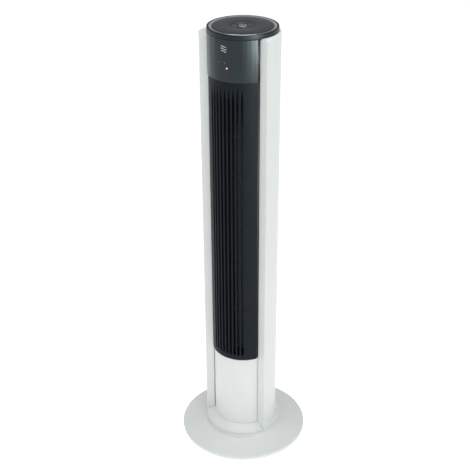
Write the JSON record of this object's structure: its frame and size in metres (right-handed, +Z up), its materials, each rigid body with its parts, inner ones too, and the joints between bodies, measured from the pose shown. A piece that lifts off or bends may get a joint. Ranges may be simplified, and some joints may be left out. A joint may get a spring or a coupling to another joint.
{
  "type": "tower fan",
  "caption": "Upright tower fan: round base, swivelling column with slotted black front grille, white U-shaped shell, display panel and round touch panel on top.",
  "frame": {"origin": "on the floor, under the column's swivel axis", "axes": "+Z up along the column; the air outlet faces -Y; +X is to the right of a person who faces the outlet"},
  "size_m": [0.3, 0.3, 1.01],
  "materials": {
    "white_plastic": "satin white moulded ABS",
    "black_plastic": "fine satin black moulded ABS",
    "gloss_black": "polished black acrylic",
    "silver": "bright plated trim",
    "dark_plastic": "matte black moulded plastic",
    "nylon": "natural nylon",
    "rubber": "matte black rubber",
    "steel": "zinc plated steel",
    "iron": "bare cast iron and laminations",
    "circuit_board": "green solder mask",
    "lamp": "tinted translucent lens"
  },
  "bodies": {
    "base": {"base_cover": "white_plastic", "base_bottom_plate": "dark_plastic", "base_weight": "iron", "rubber_foot_1": "rubber", "rubber_foot_2": "rubber", "rubber_foot_3": "rubber", "rubber_foot_4": "rubber", "rubber_foot_5": "rubber", "rubber_foot_6": "rubber", "base_screw_1": "steel", "base_screw_2": "steel", "base_screw_3": "steel", "base_screw_4": "steel", "cord_gland": "dark_plastic", "pivot_post": "steel", "swivel_bearing_ring": "nylon", "swivel_gear_ring": "nylon", "retaining_washer": "steel", "pivot_nut": "steel"},
    "column": {"column_collar": "white_plastic", "front_skirt": "white_plastic", "rear_housing": "white_plastic", "housing_screw_1": "steel", "housing_screw_2": "steel", "housing_screw_3": "steel", "housing_screw_4": "steel", "front_grille": "black_plastic", "display_panel": "gloss_black", "indicator_lamp_1": "lamp", "indicator_lamp_2": "lamp", "indicator_lamp_3": "lamp", "indicator_lamp_4": "lamp", "display_board": "circuit_board", "top_cap": "black_plastic", "trim_ring": "silver", "control_glass": "gloss_black", "control_board": "circuit_board", "swivel_motor": "steel", "capacitor": "dark_plastic", "motor_housing": "steel", "motor_stator": "iron", "motor_bracket": "dark_plastic", "bearing_bracket": "dark_plastic", "upper_bearing": "steel", "duct_scroll": "dark_plastic", "duct_tongue": "dark_plastic"},
    "blower": {"blower_wheel": "dark_plastic", "wheel_shaft": "steel", "motor_rotor": "iron"},
    "pinion": {"swivel_pinion": "nylon"},
    "power_button": {"power_key": "silver"},
    "speed_button": {"speed_key": "gloss_black"},
    "swing_button": {"swing_key": "gloss_black"},
    "timer_button": {"timer_key": "gloss_black"},
    "mode_button": {"mode_key": "gloss_black"}
  },
  "joints": [
    {"name": "column_swivel", "type": "hinge", "parent": "base", "child": "column", "pos_m": [0, 0, 0.0379], "axis": [0, 0, 1], "range_deg": [-35, 35]},
    {"name": "blower_spin", "type": "hinge", "parent": "column", "child": "blower", "pos_m": [0, 0, 0.55], "axis": [0, 0, 1], "continuous": true},
    {"name": "pinion_spin", "type": "hinge", "parent": "column", "child": "pinion", "pos_m": [0, 0.0375, 0.033], "axis": [0, 0, 1], "range_deg": [-141, 141]},
    {"name": "power_press", "type": "slide", "parent": "column", "child": "power_button", "axis": [0, 0, -1], "range_m": [0, 0.0008], "stiffness_N_per_m": 800},
    {"name": "speed_press", "type": "slide", "parent": "column", "child": "speed_button", "axis": [0, 0, -1], "range_m": [0, 0.0008], "stiffness_N_per_m": 800},
    {"name": "swing_press", "type": "slide", "parent": "column", "child": "swing_button", "axis": [0, 0, -1], "range_m": [0, 0.0008], "stiffness_N_per_m": 800},
    {"name": "timer_press", "type": "slide", "parent": "column", "child": "timer_button", "axis": [0, 0, -1], "range_m": [0, 0.0008], "stiffness_N_per_m": 800},
    {"name": "mode_press", "type": "slide", "parent": "column", "child": "mode_button", "axis": [0, 0, -1], "range_m": [0, 0.0008], "stiffness_N_per_m": 800}
  ],
  "couplings": [
    {"joint": "pinion_spin", "follows": "column_swivel", "ratio": 4}
  ]
}
